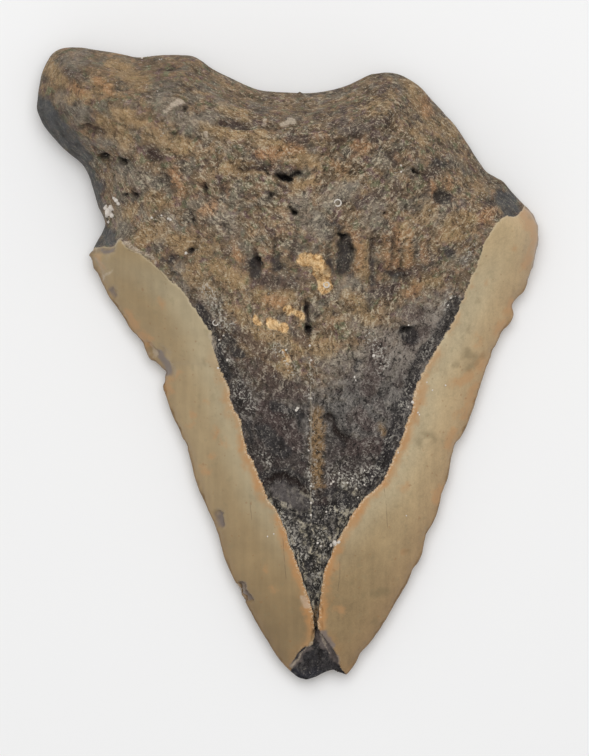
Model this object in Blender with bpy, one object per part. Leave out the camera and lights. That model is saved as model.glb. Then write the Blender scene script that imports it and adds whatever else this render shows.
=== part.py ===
"""A worn fossil megalodon tooth, one solid, lying on its flat lip-side face.

Frame: metres, +Z up. The tooth lies flat, its bulging tongue-side face up, its root towards +Y
and its broken tip towards -Y. The origin is on the surface it rests on, at the middle of its outline.

The form is a stack of cross-sections. Each one runs from the left rim over the bulging face to
the right rim and back under the flat face, and the stack goes from the tip up to the dip between
the two root lobes. Lengths below are millimetres.
"""

import bmesh
import bpy
import numpy as np

MM = 0.001

# The outline seen from above, counter-clockwise from the dip between the root lobes.
# Each run is one natural stretch of the edge.
DIP_LEFT = [(2.3, 51.5), (-1.1, 51.7), (-5.5, 52.1), (-9.8, 53.9)]
ROOT_TOP_LEFT = [
    (-14.4, 56.2), (-17.4, 58.3), (-19.5, 58.7), (-24.3, 58.7), (-29.0, 58.3), (-31.5, 58.9),
    (-35.7, 59.6), (-39.5, 60.2), (-42.3, 60.1), (-44.4, 59.4), (-45.7, 57.7), (-46.9, 54.9),
    (-47.5, 51.8),
]  # fmt: skip
LEFT_LOBE = [
    (-47.8, 48.4), (-46.9, 45.9), (-44.6, 42.8), (-42.1, 40.2), (-39.5, 38.1), (-38.1, 36.1),
    (-37.0, 32.8), (-35.9, 29.2), (-34.8, 26.7), (-36.6, 22.8),
]  # fmt: skip
LEFT_CUTTING_EDGE = [
    (-37.8, 20.7), (-37.4, 18.8), (-35.7, 15.9), (-33.8, 12.3), (-31.9, 9.6), (-30.0, 6.6),
    (-27.9, 4.1), (-26.8, 1.9), (-26.0, 0.5), (-24.7, -0.2), (-23.7, -1.6), (-23.4, -3.3),
    (-23.8, -4.3), (-23.1, -6.5), (-22.2, -9.4), (-20.7, -12.8), (-19.0, -16.6), (-18.1, -20.4),
    (-16.9, -24.2), (-15.2, -28.0), (-13.9, -30.8), (-11.9, -37.5), (-10.2, -41.3),
    (-6.3, -48.9), (-4.0, -52.7), (-1.5, -56.5),
]  # fmt: skip
BROKEN_TIP_LEFT = [(0.4, -58.5), (2.1, -59.8), (3.8, -60.2)]
BROKEN_TIP_RIGHT = [(5.7, -59.7), (7.3, -58.8), (9.0, -58.5), (10.1, -58.8), (11.1, -59.3)]
RIGHT_CUTTING_EDGE = [
    (12.0, -58.4), (13.3, -56.5), (14.1, -55.0), (15.4, -53.6), (17.5, -50.8), (19.8, -47.0),
    (23.1, -41.3), (23.8, -39.4), (25.1, -37.5), (25.8, -35.6), (26.1, -33.7), (28.2, -29.3),
    (28.9, -27.0), (29.5, -24.4), (30.4, -22.3), (31.4, -17.5), (32.2, -15.2), (33.5, -13.3),
    (34.6, -10.7), (35.6, -8.0), (36.9, -3.7), (38.2, 0.0), (39.4, 3.0), (40.9, 6.0),
    (42.2, 7.4), (43.0, 8.9), (42.8, 10.8), (43.7, 12.5), (44.9, 13.6), (46.0, 16.3),
    (47.2, 19.9), (47.8, 23.3),
]  # fmt: skip
RIGHT_LOBE = [
    (47.7, 26.0), (46.8, 28.3), (44.5, 30.7), (42.6, 32.8), (41.1, 34.6), (38.0, 36.4),
    (36.5, 38.3), (33.1, 43.7), (31.6, 45.7), (27.4, 50.3),
]  # fmt: skip
ROOT_TOP_RIGHT = [(25.5, 52.4), (23.2, 54.1), (20.9, 55.1), (18.7, 55.4), (16.0, 55.1)]
DIP_RIGHT = [(13.4, 54.0), (10.9, 52.8), (5.4, 51.6)]

# Cross-sections in each stretch, from the tip: broken tip, cutting edge, lobe, root top, dip.
SECTIONS = (5, 54, 20, 20, 7)
SPANS_TO_SPINE = 9  # spans across one half of a section
RIM_SPANS = 4  # of those, the closely spaced ones that round the rim
RIM_ZONE = 5.0  # width of the closely spaced part

# The spine is the line of greatest height. Its points are where one stretch gives way to the next.
SPINE = [(3.8, -60.2), (5.8, -56.5), (3.0, 20.0), (2.5, 30.0), (2.4, 38.0), (2.3, 51.5)]
EASING = 5  # sections either way over which the sections' widths are evened out

# The upper face's height above the resting plane along the spine, as (y, height).
RIDGE = [
    (-61, 3.7), (-56, 5.0), (-50, 6.8), (-40, 9.4), (-20, 13.6), (0, 17.2), (14, 20.4),
    (24, 22.9), (30, 23.5), (38, 22.6), (45, 20.6), (52, 18.0),
]  # fmt: skip

# From crown to root the section changes from a sharp-edged lens to a blunt, rounded slab.
CROWN_TO_ROOT_Y = (12.0, 34.0)
RIM_HEIGHT = (3.0, 4.0)  # crown, root
SIDE_DROP = (1.0, 0.45)  # share of the rise that is lost from the spine to the rim
UPPER_RADIUS = (1.0, 11.0)  # rounding of the upper rim
UPPER_POWER = (0.5, 0.75)  # its shape: 0.5 is a quarter circle, more is a gentler shoulder
LOWER_RADIUS = (6.0, 5.0)  # rounding of the lower rim, inside which the face is flat

FOSSIL_BROWN = (0.16, 0.115, 0.07, 1.0)


def smooth_curve(points, steps=14):
    """A centripetal Catmull-Rom curve through the points, as a dense polyline."""
    points = np.array(points, float)
    points = np.vstack([2 * points[0] - points[1], points, 2 * points[-1] - points[-2]])
    p0, p1, p2, p3 = (points[i : len(points) - 3 + i, None, :] for i in range(4))

    def knot(t, a, b):
        return t + np.sqrt(np.linalg.norm(b - a, axis=2, keepdims=True))

    t1 = knot(0.0, p0, p1)
    t2 = knot(t1, p1, p2)
    t3 = knot(t2, p2, p3)
    t = t1 + (t2 - t1) * np.linspace(0, 1, steps, endpoint=False)[None, :, None]
    a1 = (t1 - t) / t1 * p0 + t / t1 * p1
    a2 = (t2 - t) / (t2 - t1) * p1 + (t - t1) / (t2 - t1) * p2
    a3 = (t3 - t) / (t3 - t2) * p2 + (t - t2) / (t3 - t2) * p3
    b1 = (t2 - t) / t2 * a1 + t / t2 * a2
    b2 = (t3 - t) / (t3 - t1) * a2 + (t - t1) / (t3 - t1) * a3
    curve = ((t2 - t) / (t2 - t1) * b1 + (t - t1) / (t2 - t1) * b2).reshape(-1, 2)
    return np.vstack([curve, points[-2]])


def evenly(curve, spans):
    """The polyline at equal steps of its own length: spans + 1 points."""
    length = np.concatenate([[0], np.cumsum(np.linalg.norm(np.diff(curve, axis=0), axis=1))])
    at = np.linspace(0, length[-1], spans + 1)
    return np.column_stack([np.interp(at, length, curve[:, axis]) for axis in (0, 1)])


def rim_side(runs):
    """One half of the outline from the tip to the dip, with SECTIONS[k] equal steps in run k."""
    stretches = [evenly(smooth_curve(run), n) for run, n in zip(runs, SECTIONS)]
    return np.vstack([stretches[0], *(stretch[1:] for stretch in stretches[1:])])


def chained(*runs):
    """Runs lengthened to start where the one before ends, so that the halves have no gap."""
    return [run if i == 0 else [runs[i - 1][-1], *run] for i, run in enumerate(runs)]


def evened(values):
    """The values averaged with their neighbours up to EASING either way, the ends kept in line."""
    before = 2 * values[0] - values[EASING:0:-1]
    after = 2 * values[-1] - values[-2 : -2 - EASING : -1]
    window = np.hanning(2 * EASING + 3)[1:-1]
    return np.convolve(np.concatenate([before, values, after]), window / window.sum(), "valid")


def spine_points():
    """The spine at each section."""
    rows = np.cumsum((0, *SECTIONS))
    every_row = np.arange(rows[-1] + 1)
    return np.column_stack([evened(np.interp(every_row, rows, values)) for values in zip(*SPINE)])


def eased(low, high, value):
    """0 below low, 1 above high, with a smooth step between."""
    t = np.clip((value - low) / (high - low), 0, 1)
    return t * t * (3 - 2 * t)


def rounded(share, power=0.5):
    """The rise of a rounded rim, 0 at the rim and 1 from share 1 inwards: a quarter circle at
    power 0.5."""
    return (1 - (1 - np.clip(share, 0, 1)) ** 2) ** power


def distance_to(outline, x, y):
    """Distance of each point of the x, y grids to the closed polyline."""
    nearest = np.full(x.shape, np.inf)
    for (ax, ay), (bx, by) in zip(outline, np.roll(outline, -1, axis=0)):
        dx, dy = bx - ax, by - ay
        t = np.clip(((x - ax) * dx + (y - ay) * dy) / (dx * dx + dy * dy), 0, 1)
        nearest = np.minimum(nearest, np.hypot(x - ax - t * dx, y - ay - t * dy))
    return nearest


def half_spans(width):
    """Shares of the way from rim to spine: RIM_SPANS close steps, then equal ones."""
    zone = min(RIM_ZONE / max(width, RIM_ZONE), 0.45)
    close = zone * (1 - np.cos(np.linspace(0, np.pi / 2, RIM_SPANS + 1)))
    return np.concatenate([close, np.linspace(zone, 1, SPANS_TO_SPINE - RIM_SPANS + 1)[1:]])


def cross_sections():
    """Grids x, y, z of the closed section loops, one row each, and the two poles.

    A point of the upper face stands at: rim height + rise * (1 - drop * (1 - u)^2) * rounded(d / r,
    power), where u is its share of the way from rim to spine and d its distance to the outline.
    A point of the lower face stands at: rim height * (1 - rounded(d / r)), which is 0 inside r.
    """
    left_runs = [BROKEN_TIP_LEFT, LEFT_CUTTING_EDGE, LEFT_LOBE, ROOT_TOP_LEFT, DIP_LEFT]
    right_runs = [BROKEN_TIP_RIGHT, RIGHT_CUTTING_EDGE, RIGHT_LOBE, ROOT_TOP_RIGHT, DIP_RIGHT]
    left = rim_side(chained(*(run[::-1] for run in left_runs)))
    right_runs[0] = [BROKEN_TIP_LEFT[-1], *BROKEN_TIP_RIGHT]
    right_runs[-1] = [*DIP_RIGHT, DIP_LEFT[0]]
    right = rim_side(chained(*right_runs))
    spine = spine_points()
    outline = np.vstack([left, right[-2:0:-1]])
    left_width, right_width = (np.linalg.norm(spine - rim, axis=1) for rim in (left, right))

    x, y, u = [], [], []
    for row in range(1, len(spine) - 1):
        a = half_spans(left_width[row])[:, None]
        b = half_spans(right_width[row])[-2::-1, None]
        to_spine = left[row] + a * (spine[row] - left[row])
        from_spine = right[row] + b * (spine[row] - right[row])
        x.append(np.vstack([to_spine, from_spine])[:, 0])
        y.append(np.vstack([to_spine, from_spine])[:, 1])
        left_share = 1 - (1 - a) * left_width[row] / evened(left_width)[row]
        right_share = 1 - (1 - b) * right_width[row] / evened(right_width)[row]
        u.append(np.vstack([left_share, right_share])[:, 0])
    x, y, u = np.array(x), np.array(y), np.clip(u, 0, 1)

    root = eased(*CROWN_TO_ROOT_Y, y)
    rim_height, drop, upper, power, lower = (
        a + (b - a) * root
        for a, b in (RIM_HEIGHT, SIDE_DROP, UPPER_RADIUS, UPPER_POWER, LOWER_RADIUS)
    )
    d = distance_to(outline, x, y)
    ridge = smooth_curve(RIDGE)
    rise = np.interp(spine[1:-1, 1], *ridge.T)[:, None] - rim_height
    top = rim_height + rise * (1 - drop * (1 - u) ** 2) * rounded(d / upper, power)
    bottom = rim_height * (1 - rounded(d / lower))

    back = slice(-2, 0, -1)  # the lower face is walked back from the right rim to the left one
    x = np.hstack([x, x[:, back]])
    y = np.hstack([y, y[:, back]])
    z = np.hstack([top, bottom[:, back]])
    poles = [(*left[end], RIM_HEIGHT[end != 0]) for end in (0, -1)]
    return x, y, z, poles


def tooth_mesh():
    """The sections joined row to row into one closed mesh, its flat resting face one polygon."""
    x, y, z, poles = cross_sections()
    mesh = bmesh.new()
    grid = [[mesh.verts.new(p) for p in zip(*row)] for row in zip(x, y, z)]
    tip, dip = (mesh.verts.new(p) for p in poles)
    around = [(i, (i + 1) % len(grid[0])) for i in range(len(grid[0]))]
    for lower_row, upper_row in zip(grid, grid[1:]):
        for i, j in around:
            mesh.faces.new((lower_row[i], lower_row[j], upper_row[j], upper_row[i]))
    for i, j in around:
        mesh.faces.new((tip, grid[0][j], grid[0][i]))
        mesh.faces.new((dip, grid[-1][i], grid[-1][j]))
    resting = [f for f in mesh.faces if all(abs(v.co.z) < 1e-9 for v in f.verts)]
    merged = bmesh.ops.dissolve_faces(mesh, faces=resting, use_verts=True)["region"]
    bmesh.ops.triangulate(mesh, faces=merged, ngon_method="BEAUTY")
    bmesh.ops.recalc_face_normals(mesh, faces=mesh.faces)
    places = np.array([v.co for v in mesh.verts])
    middle = (places.min(axis=0) + places.max(axis=0)) / 2
    bmesh.ops.translate(mesh, vec=(-middle[0], -middle[1], 0), verts=mesh.verts)
    bmesh.ops.scale(mesh, vec=(MM, MM, MM), verts=mesh.verts)
    data = bpy.data.meshes.new("tooth")
    mesh.to_mesh(data)
    mesh.free()
    return data


def fossil_material():
    material = bpy.data.materials.new("fossil")
    material.use_nodes = True
    shader = material.node_tree.nodes["Principled BSDF"]
    shader.inputs["Base Color"].default_value = FOSSIL_BROWN
    shader.inputs["Roughness"].default_value = 0.65
    shader.inputs["Metallic"].default_value = 0.0
    return material


def main():
    for old in list(bpy.data.objects):
        bpy.data.objects.remove(old)
    data = tooth_mesh()
    data.shade_smooth()
    data.set_sharp_from_angle(angle=np.radians(50))
    data.materials.append(fossil_material())
    bpy.context.scene.collection.objects.link(bpy.data.objects.new("tooth", data))


main()
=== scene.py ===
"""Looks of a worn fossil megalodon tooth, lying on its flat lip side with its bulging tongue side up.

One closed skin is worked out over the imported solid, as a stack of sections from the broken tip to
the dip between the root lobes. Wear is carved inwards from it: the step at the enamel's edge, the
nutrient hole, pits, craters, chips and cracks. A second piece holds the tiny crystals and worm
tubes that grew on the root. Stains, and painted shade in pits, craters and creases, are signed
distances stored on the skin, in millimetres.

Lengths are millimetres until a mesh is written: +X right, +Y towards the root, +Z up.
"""

import bpy
import numpy as np
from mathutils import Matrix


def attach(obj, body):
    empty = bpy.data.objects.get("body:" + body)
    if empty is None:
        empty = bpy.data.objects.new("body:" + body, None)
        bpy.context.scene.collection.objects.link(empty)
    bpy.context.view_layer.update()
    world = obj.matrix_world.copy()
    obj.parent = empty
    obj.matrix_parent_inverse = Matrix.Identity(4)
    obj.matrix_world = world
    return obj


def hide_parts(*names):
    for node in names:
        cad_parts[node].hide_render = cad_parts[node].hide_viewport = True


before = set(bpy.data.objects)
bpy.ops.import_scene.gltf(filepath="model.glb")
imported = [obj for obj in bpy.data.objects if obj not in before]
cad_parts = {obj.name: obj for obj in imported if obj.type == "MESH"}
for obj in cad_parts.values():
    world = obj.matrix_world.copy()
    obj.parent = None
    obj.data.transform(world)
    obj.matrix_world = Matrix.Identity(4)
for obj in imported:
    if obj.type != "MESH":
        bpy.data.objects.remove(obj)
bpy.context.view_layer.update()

MM = 0.001

# The skin's grid: rows in each stretch from tip to dip, and spans from rim to spine over the tooth
# and under it. Some of the spans crowd into a zone along the rim, at most this share of the way.
ROWS = (20, 226, 84, 82, 28)
OVER_HALF = 93
OVER_RIM = 10
UNDER_HALF = 17
UNDER_RIM = 7
RIM_ZONE = 3.5
MOST_ZONE = 0.4
# Rows over which the spine and the widths are evened out, either way.
EASING = 20

# Where one stretch of sections gives way to the next: on the left rim, the right rim and the spine.
TIP = (3.8, -60.1)
DIP = (2.3, 51.6)
STATIONS = [
    ((-1.5, -56.4), (12.0, -58.3), (5.8, -56.4)),
    ((-37.8, 20.8), (47.8, 23.4), (3.0, 20.1)),
    ((-47.5, 51.9), (27.4, 50.4), (2.5, 30.1)),
    ((-9.8, 54.0), (16.0, 55.2), (2.4, 38.1)),
]

# A point in the root from which the rim's corners are seen in their order.
ROOT_MIDDLE = (0.5, 30.0)
# Where the height of the solid's crest is taken, and from how near to each of these.
CREST_Y = np.arange(-58.0, 51.0, 2.0)
CREST_REACH = 1.7

# The solid's cross-section, each value on the crown and on the root.
CROWN_TO_ROOT_Y = (12.0, 34.0)
RIM_HEIGHT = (3.0, 4.0)
SIDE_DROP = (1.0, 0.45)
UPPER_RADIUS = (1.0, 11.0)
UPPER_POWER = (0.5, 0.75)
LOWER_RADIUS = (6.0, 5.0)

# Drop from the enamel to what is bare: at the tip, at the shoulders and on the lip side.
STEP_AT_TIP = 0.9
STEP_AT_SHOULDERS = 0.3
STEP_UNDER = 0.3
# The bare surface's relief: its mean depth, then broad swells, lumps, pocks and wrinkles. A wrinkle
# fades where its hills stand this high.
BARE_DEPTH = 0.45
SWELL_HEIGHT = 0.3
LUMP_HEIGHT = 0.2
POCK_DEPTH = 0.25
WRINKLE_DEPTH = 0.22
WRINKLE_FADE = 0.11
# The enamel's: its mean depth, its undulations, its finest ripple and the bites in its edge.
ENAMEL_DEPTH = 0.05
UNDULATION = 0.05
RIPPLE = 0.012
BITE_DEPTH = 0.25
# How far hills push the enamel's edge, and the outlines of all other marks.
FRAY = 0.28
RAGGED = 0.55
# A mark's field where the mark is nowhere near.
NOWHERE = -9

# Corners along each side of the lattice that hills grow from, and what raises them to about 1.
LATTICE = 32
HILL_HEIGHT = 1.6

# Rings and sides of a crystal's ball, and steps round a worm tube's ring and round the tube.
BALL_RINGS, BALL_SIDES = 4, 8
TUBE_STEPS, TUBE_SIDES = 20, 8
# The least and the most that a crystal's radius swells to, and its height as a share of it.
CRYSTAL_SWELL = (0.75, 1.25)
CRYSTAL_SQUASH = 0.7


# ---------------------------------------------------------------- curves and fields


def smooth_curve(points, steps=8, closed=False):
    """A centripetal Catmull-Rom curve: each span is a chain of straight blends between its four
    nearest points, timed by the square roots of their distances."""
    points = np.array(points, float)
    if closed:
        points = np.vstack([points[-1], points, points[:2]])
    else:
        points = np.vstack([2 * points[0] - points[1], points, 2 * points[-1] - points[-2]])
    p0, p1, p2, p3 = (points[i : len(points) - 3 + i, None, :] for i in range(4))
    spans = [p1 - p0, p2 - p1, p3 - p2]
    t1, t2, t3 = np.cumsum([np.sqrt(np.linalg.norm(s, axis=2, keepdims=True)) for s in spans], axis=0)
    t = t1 + (t2 - t1) * np.linspace(0, 1, steps, endpoint=False)[None, :, None]
    a1 = (t1 - t) / t1 * p0 + t / t1 * p1
    a2 = (t2 - t) / (t2 - t1) * p1 + (t - t1) / (t2 - t1) * p2
    a3 = (t3 - t) / (t3 - t2) * p2 + (t - t2) / (t3 - t2) * p3
    b1 = (t2 - t) / t2 * a1 + t / t2 * a2
    b2 = (t3 - t) / (t3 - t1) * a2 + (t - t1) / (t3 - t1) * a3
    curve = ((t2 - t) / (t2 - t1) * b1 + (t - t1) / (t2 - t1) * b2).reshape(-1, 2)
    return curve if closed else np.vstack([curve, points[-2]])


def evenly(curve, spans):
    """The polyline at equal steps of its own length."""
    length = np.concatenate([[0], np.cumsum(np.linalg.norm(np.diff(curve, axis=0), axis=1))])
    at = np.linspace(0, length[-1], spans + 1)
    return np.column_stack([np.interp(at, length, curve[:, axis]) for axis in (0, 1)])


def eased(low, high, value):
    """0 at low, 1 at high, with a smooth step between."""
    t = np.clip((value - low) / (high - low), 0, 1)
    return t * t * (3 - 2 * t)


def rounded(share, power=0.5):
    """The rise of a rounded rim, 0 at the rim and 1 from share 1 inwards: a quarter circle at
    power 0.5."""
    return (1 - (1 - np.clip(share, 0, 1)) ** 2) ** power


def evened(values):
    """The values averaged with their neighbours up to EASING rows either way."""
    before = 2 * values[0] - values[EASING:0:-1]
    after = 2 * values[-1] - values[-2 : -2 - EASING : -1]
    window = np.hanning(2 * EASING + 3)[1:-1]
    return np.convolve(np.concatenate([before, values, after]), window / window.sum(), "valid")


def hills(places, size, seed):
    """Random hills about `size` across, from -1 to 1: the corners of a cubic lattice each give a
    random slope, and the slopes are carried to the place and blended by a quintic."""
    slopes = np.random.default_rng(seed).normal(size=(LATTICE, LATTICE, LATTICE, 3))
    slopes /= np.linalg.norm(slopes, axis=-1, keepdims=True)
    at = places / size
    corner = np.floor(at).astype(int)
    share = at - corner
    blend = share**3 * (share * (share * 6 - 15) + 10)
    total = np.zeros(places.shape[:-1])
    for step in np.ndindex(2, 2, 2):
        slope = slopes[tuple(np.moveaxis((corner + step) % LATTICE, -1, 0))]
        weight = np.prod(np.where(step, blend, 1 - blend), axis=-1)
        total += weight * np.sum(slope * (share - step), axis=-1)
    return total * HILL_HEIGHT


def rough(places, size, octaves, seed):
    """Hills upon hills, each layer half the size and half the height of the one before."""
    return sum(hills(places, size / 2**k, seed + k) / 2**k for k in range(octaves))


def to_path(path, places):
    """Distance of each place to the polyline through path, seen from above, and the signed
    distance that is positive on the left of the path's nearest stretch."""
    nearest = np.full(places.shape[:-1], np.inf)
    side = np.ones(nearest.shape)
    path = np.array(path, float)
    if len(path) == 1:
        path = np.vstack([path, path + 1e-6])
    for a, b in zip(path, path[1:]):
        along = b - a
        offset = places[..., :2] - a
        t = np.clip(offset @ along / (along @ along), 0, 1)
        away = offset - t[..., None] * along
        distance = np.hypot(away[..., 0], away[..., 1])
        left = np.sign(along[0] * offset[..., 1] - along[1] * offset[..., 0])
        side = np.where(distance < nearest, left, side)
        nearest = np.minimum(nearest, distance)
    return nearest, nearest * side


def within(polygon, places):
    """Whether each place, seen from above, is inside the polygon, by counting the crossed edges."""
    x, y = places[..., 0], places[..., 1]
    inside = np.zeros(x.shape, bool)
    for (ax, ay), (bx, by) in zip(polygon, np.roll(polygon, -1, axis=0)):
        if ay != by:
            crosses = ((ay > y) != (by > y)) & (x < (bx - ax) * (y - ay) / (by - ay) + ax)
            inside ^= crosses
    return inside


def blots(marks, places):
    """Signed distance, positive inside, to the nearest of the marks, each a radius and a path."""
    return np.max([radius - to_path(path, places)[0] for radius, path in marks], axis=0)


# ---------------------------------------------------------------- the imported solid


def packed_corners():
    """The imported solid's corners, shared ones merged, and its triangles."""
    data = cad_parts["tooth"].data
    places = np.empty(len(data.vertices) * 3)
    data.vertices.foreach_get("co", places)
    corners, merged = np.unique(np.round(places.reshape(-1, 3) / MM, 3), axis=0, return_inverse=True)
    data.calc_loop_triangles()
    triangles = np.empty(len(data.loop_triangles) * 3, int)
    data.loop_triangles.foreach_get("vertices", triangles)
    return corners, merged.reshape(-1)[triangles].reshape(-1, 3)


def widest_loop(corners, triangles):
    """The rim from the dip round by the left: corners on edges between a face that looks up and one
    that looks down, in the order of their angle about ROOT_MIDDLE."""
    a, b, c = (corners[triangles[:, k]] for k in range(3))
    up = np.cross(b - a, c - a)[:, 2] > 0
    edges = np.sort(triangles[:, [[0, 1], [1, 2], [2, 0]]].reshape(-1, 2), axis=1)
    edges, index = np.unique(edges, axis=0, return_inverse=True)
    faces_up = np.bincount(index.reshape(-1), np.repeat(up, 3))
    rim = np.unique(corners[np.unique(edges[faces_up == 1])][:, :2], axis=0)
    rim = rim[np.argsort(np.arctan2(*(rim - ROOT_MIDDLE).T[::-1]))]
    return np.roll(rim, -np.argmin(np.linalg.norm(rim - DIP, axis=1)), axis=0)


def crest(corners):
    """Height of the solid's highest corner near each y of CREST_Y."""
    return [corners[np.abs(corners[:, 1] - y) < CREST_REACH, 2].max() for y in CREST_Y]


def rim_half(rim, places):
    """The rim from tip to dip on one side, with ROWS[k] equal steps in its stretch k."""
    breaks = [0, *(np.argmin(np.linalg.norm(rim - place, axis=1)) for place in places), len(rim) - 1]
    stretches = [evenly(rim[i : j + 1], rows) for i, j, rows in zip(breaks, breaks[1:], ROWS)]
    return np.vstack([stretches[0], *(stretch[1:] for stretch in stretches[1:])])


def shares(width, spans, close_spans):
    """Shares of the way from rim to spine: spans crowded by a cosine near the rim, then equal."""
    zone = np.minimum(RIM_ZONE / np.maximum(width, RIM_ZONE), MOST_ZONE)[:, None]
    close = zone * (1 - np.cos(np.linspace(0, np.pi / 2, close_spans + 1)))
    return np.hstack([close[:, :-1], zone + (1 - zone) * np.linspace(0, 1, spans - close_spans + 1)])


# ---------------------------------------------------------------- what marks the tooth

# Inner edges of the enamel on the tongue side, from the shoulders to the tip and back.
ENAMEL_LEFT = [
    (-38, 21.5), (-36.2, 22.1), (-33.2, 22.1), (-31.9, 23.4), (-30.7, 22.1), (-28.1, 20.7),
    (-25.8, 19), (-23.7, 17.3), (-22.2, 15.6), (-19.9, 13.7), (-18, 10.7), (-16.5, 8.4),
    (-14.8, 6.1), (-14.4, 3.4), (-12.9, -0.9), (-11.2, -4.7), (-10.6, -8), (-9.1, -10.8),
    (-7.7, -16.5), (-5.8, -20.7), (-4.1, -24.9), (-1.5, -29.2), (0.2, -33.8), (1.8, -38.2),
    (3.5, -43.1), (4.4, -46.1), (5, -50.3), (4.8, -53), (2.3, -54.7), (1, -57.2), (0.4, -59.1),
]
ENAMEL_RIGHT = [
    (11.8, -60.2), (10.3, -57.9), (9.4, -55.5), (7.8, -53.2), (5.9, -50.9), (5.9, -47.7),
    (6.3, -44.2), (6.9, -39.7), (8.8, -34.7), (11.6, -29.8), (14.1, -26), (17.5, -23),
    (19.8, -18.4), (21.7, -14.2), (23.4, -9.3), (24.2, -5.5), (26.1, -0.9), (28.5, 2.9),
    (30.3, 5.7), (32.3, 9.7), (34.4, 15), (36.1, 19.2), (37.1, 22.6), (39.4, 26.1),
    (40.9, 27.6), (43, 27.8), (44.1, 28.7), (45.1, 30),
]
BELOW_TIP = [(0, -70), (12, -70)]
ROUND_THE_ROOT = [(60, 30), (60, 80), (-60, 80), (-60, 21.5)]
# On the lip side the enamel ends in one shallow chevron.
ENAMEL_UNDER = [(60, 31), (45, 29), (26, 19.5), (4, 14), (-18, 17.5), (-37, 21), (-60, 21.5)]
# Below this line the root's brown gives way to charcoal dentine.
DARK_FROM = [
    (-60, 8), (-17.6, 12), (-13.8, 6), (-9.1, 1.6), (-4.9, -3.4), (0.4, -5), (5.2, -4), (10.9, 0),
    (16.6, 4), (21.3, 7.5), (28.9, 12), (60, 14),
]

# What is carved: radius, depth or height, and path. A single point makes a round mark.
CAVITIES = [
    (0.85, 3, [(-0.5, 35), (0.1, 34.6)]), (0.5, 1.4, [(-1.5, 35.4), (-0.5, 35)]),
    (0.35, 1, [(0.6, 35.2), (2.2, 35.9)]), (0.35, 0.6, [(-4.6, 36.2), (-3.8, 35.6)]),
    (0.35, 0.8, [(0.4, 29.1), (0.8, 28.8)]), (0.45, 1.6, [(0.9, 28.5), (1.5, 28.2)]),
    (0.5, 0.9, [(-3.4, 31.8), (-3.4, 31.2)]), (0.5, 0.9, [(-18.7, 21.3)]),
    (0.5, 1.3, [(-35.9, 38.4), (-35.3, 38.5)]), (0.55, 1.3, [(-32.2, 37.7), (-31.6, 37.3)]),
    (0.4, 1, [(-31.2, 31.6)]), (0.5, 1, [(-29.3, 31.3)]), (0.5, 1, [(-19, 48.1)]),
    (0.5, 1.5, [(24, 36.5), (24.5, 35.9)]), (0.4, 0.9, [(18.5, 28)]),
    (0.6, 1.4, [(10, 24.3), (10.6, 23.6)]), (0.35, 0.8, [(12.2, 21.7), (12.4, 20.7)]),
    (0.6, 1.5, [(-5.7, 19.6), (-5.4, 19)]), (0.45, 1.2, [(3.2, 10.3), (3.9, 8.6)]),
    (0.6, 2.2, [(3.9, 6.4), (3.8, 5.4)]), (0.35, 0.7, [(5.8, 8.6)]),
    (0.6, 1.5, [(22.8, 5.9), (23.3, 6.1)]), (0.45, 1.5, [(5.3, -51.1), (5.2, -51.6)]),
    (0.45, 0.7, [(-15.6, 32.5)]), (0.4, 0.8, [(-17.8, 26.7)]), (0.4, 0.8, [(-2.3, 21.6)]),
]
CREASES = [
    (0.7, 0.8, [(-4.5, -22.6), (-3.4, -21.6), (-1.5, -21.4), (0.4, -22.2), (2.3, -23.3), (3.7, -24.5)]),
    (0.5, 0.4, [(-39.4, 44.2), (-38, 43.8), (-35.4, 43)]),
    (0.4, 0.5, [(-23.7, 35.4), (-22.4, 34), (-21.6, 32.5)]),
    (0.4, 0.5, [(18.5, 16.9), (19.8, 16.4), (21.1, 17.3), (23, 15.6)]),
    (0.6, 0.5, [(-9.5, 36.5), (-4.7, 36.5)]), (0.5, 0.5, [(-15.9, 33.3), (-15.3, 31)]),
    (0.5, 0.5, [(-2.4, 23.2), (-2.2, 21.3), (-3, 19.4)]), (0.6, 0.9, [(2.9, 11), (3.8, 9.5), (4, 4.6)]),
    (0.6, 0.8, [(7.6, -10.2), (9.2, -12.6), (11.2, -15)]), (0.6, 0.6, [(-6.2, 21), (-5.3, 17.8)]),
    (0.5, 0.3, [(-26, 39.8), (-24.4, 38.4)]), (0.5, 0.2, [(-12.5, 45.7), (-7, 45.4)]),
    (0.5, 0.5, [(24.9, 31), (26.3, 31.6)]), (0.5, 0.5, [(7.9, 22.5), (7.5, 17.2)]),
    (0.35, 0.4, [(19.5, 23.2), (19.9, 21), (19.6, 18.2)]), (0.3, 0.4, [(21.9, 22), (21.7, 17.2)]),
    (0.35, 0.3, [(24.6, 21.6), (24.3, 19.2)]), (0.5, 0.5, [(16.3, 24.5), (15.9, 19.4)]),
    (0.5, 0.4, [(1.6, 24.4), (0.8, 19.4)]), (0.4, 0.5, [(-18.4, 28.4), (-17.4, 25.6)]),
    (0.7, 0.4, [(8.3, 41.4), (13.8, 43)]),
]
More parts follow.
